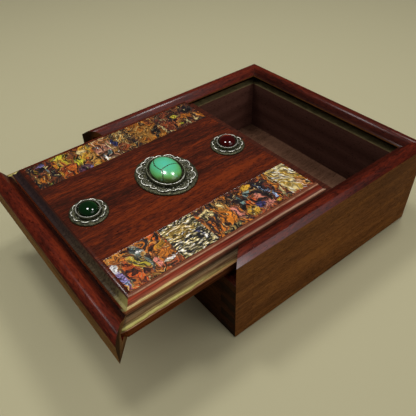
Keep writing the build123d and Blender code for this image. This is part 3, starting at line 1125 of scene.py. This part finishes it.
def patina():
    """The dark, greenish foot of a setting, finely grained, paler towards its foot."""
    s = Shader("patina")
    tarnish = s.noise(s.place, 0.45, 4.0, 0.6)
    s.colour = s.between(tarnish, (0.026, 0.026, 0.012), (0.105, 0.102, 0.05))
    foot = s.rise(s.z, field_top + 0.5, field_top + 0.2)
    s.paint(foot * s.rise(tarnish, 0.44, 0.56), (0.13, 0.12, 0.045))
    s.set(Base_Color=s.colour, Metallic=0.6, Roughness=0.42)
    grains = s.node("TexVoronoi", (s.place, 0.0, 1.6))
    s.set(Normal=s.bump(grains.outputs["Distance"], 0.4, 0.0004))
    return s.material


def turquoise():
    """Waxy turquoise, greener towards its edge, with dark veins; its darkest edge tones and the
    darkening towards its girdle are painted shade.
    """
    s = Shader("turquoise_stone")
    node = "stone_turquoise"
    low, high = box(node)
    size = high - low
    across = distance_towards(s, node, (2 / size.x, 0.0))
    along = distance_towards(s, node, (0.0, 2 / size.y))
    cloud = s.noise(s.place, 0.22, 4.0)
    # greener towards the edge and darkest at it, more on one side; the darkest tones are painted
    # shade
    reach = s.math("SQRT", across * across + along * along) + 0.16 * across + 0.3 * cloud
    tones = (
        (0.2, (0.1, 0.58, 0.38)), (0.8, (0.1, 0.52, 0.25)), (1.08, (0.13, 0.46, 0.12)),
        (1.18, (0.1, 0.26, 0.05)), (1.28, (0.05, 0.07, 0.015)),
    )
    s.colour = s.profile(reach, tones)
    s.paint(0.35 * s.rise(cloud, 0.58, 0.7), (0.2, 0.68, 0.44))
    # darker towards the girdle: painted shade on the stone's steep side
    girdle = low.z + 0.3 * size.z
    s.paint(s.rise(s.z, girdle + 1.1, girdle), (0.055, 0.075, 0.012))
    veins = s.node("Attribute", attribute_name="crack").outputs["Fac"]
    s.paint(s.rise(veins, 0.05, 0.6), (0.035, 0.05, 0.02))
    s.set(Base_Color=s.colour, Roughness=0.5, Specular_IOR_Level=0.0)
    s.set(Coat_Weight=1.0, Coat_Roughness=0.2, Coat_IOR=1.8)
    return s.material


def glassy_stone(name, deep, bright, towards):
    """A dark translucent stone whose far side is painted brighter: painted light where light
    gathers.
    """
    s = Shader(f"{name}_stone")
    side = distance_towards(s, f"stone_{name}", towards) + 2.0 * s.noise(s.place, 0.4, 2.0)
    s.set(Base_Color=s.mix(s.rise(side, 2.4, 6.4), deep, bright), Roughness=0.3)
    s.set(Specular_IOR_Level=0.0, Coat_Weight=1.0, Coat_Roughness=0.03)
    return s.material


def dress_settings():
    dark_metal = patina()
    green = glassy_stone("green", (0.002, 0.016, 0.003), (0.002, 0.06, 0.006), (-0.35, 0.9))
    red = glassy_stone("red", (0.034, 0.0008, 0.0008), (0.55, 0.05, 0.008), (-0.85, 0.5))
    stones = {"turquoise": turquoise(), "green": green, "red": red}
    for name, facts in SETTINGS.items():
        wire = silver(f"silver_wire_{name}", f"lace_{name}", facts["wire_depth"], 1.0, 1.0)
        shine, lit = facts["ring_shine"], facts["lit"]
        ring = silver(f"silver_ring_{name}", f"bezel_{name}", 0.3, shine, 2.2, lit)
        finish_piece(skirt(name, facts), f"skirt_{name}", dark_metal, "lid")
        finish_piece(lace(name, facts), f"lace_{name}", wire, "lid")
        finish_piece(bezel(name, facts), f"bezel_{name}", ring, "lid")
        finish_piece(stone(name, facts), f"stone_{name}", stones[name], "lid")


# Stage
def floor():
    """A plain pale floor."""
    half = 3.0
    corners = [(-half, -half, 0), (half, -half, 0), (half, half, 0), (-half, half, 0)]
    plane = new_piece("floor", corners, [(0, 1, 2, 3)], smooth=False)
    plane.location.z = -0.05 * MM
    s = Shader("pale_floor")
    s.set(Base_Color=(0.47, 0.435, 0.27), Roughness=0.9, Specular_IOR_Level=0.0)
    plane.data.materials.append(s.material)


def lamp(name, direction, distance, size, power, shape="DISK"):
    """An area lamp that looks at the lid from a direction."""
    data = bpy.data.lights.new(name, "AREA")
    data.shape = shape
    data.size = size
    data.energy = power
    piece = add(name, data)
    target = Vector((0, lid_middle, field_top)) * MM
    piece.location = target + Vector(direction).normalized() * distance
    piece.rotation_euler = (target - piece.location).to_track_quat("-Z", "Y").to_euler()
    return piece


def lights():
    """Two small lamps, whose glints the stones show, and two broad ones that show in nothing."""
    lamp("lamp_left", (-0.36, -0.04, 0.93), 0.75, 0.155, 1.7)
    lamp("lamp_right", (0.01, 0.43, 0.9), 0.75, 0.155, 1.7)
    overhead = lamp("overhead", (-0.1, -0.5, 1.0), 1.6, 1.6, 9.5, shape="SQUARE")
    fill = lamp("fill", (0.9, 0.05, 0.45), 1.6, 1.2, 5.2, shape="SQUARE")
    overhead.visible_glossy = fill.visible_glossy = False


def sky():
    """A faint grey with one bright round window, which gives the near rim its sheen."""
    s = Shader("studio", world=True)
    bpy.context.scene.world = s.material
    values = (s.coordinates["Generated"], Vector((0.55, 0.34, 0.76)).normalized())
    towards = s.node("VectorMath", values, operation="DOT_PRODUCT").outputs["Value"]
    edge, core = math.cos(math.radians(26)), math.cos(math.radians(9))
    s.set(Color=(1.0, 0.94, 0.96), Strength=1.16 * s.rise(towards, edge, core) + 0.04)


def camera():
    """The photograph's view: place and turn from a fit to the box's own corners."""
    data = bpy.data.cameras.new("camera")
    data.lens = 40.74
    data.shift_x = 0.0206
    data.shift_y = 0.0401
    data.clip_start = 0.01
    piece = add("camera", data)
    piece.location = (0.1803, -0.1703, 0.2168)
    piece.rotation_euler = [math.radians(angle) for angle in (46.75, 2.28, 52.04)]
    bpy.context.scene.camera = piece


bpy.context.scene.view_settings.view_transform = "Standard"
dress_boards()
dress_tiles()
dress_settings()
floor()
lights()
sky()
camera()

bpy.context.view_layer.update()
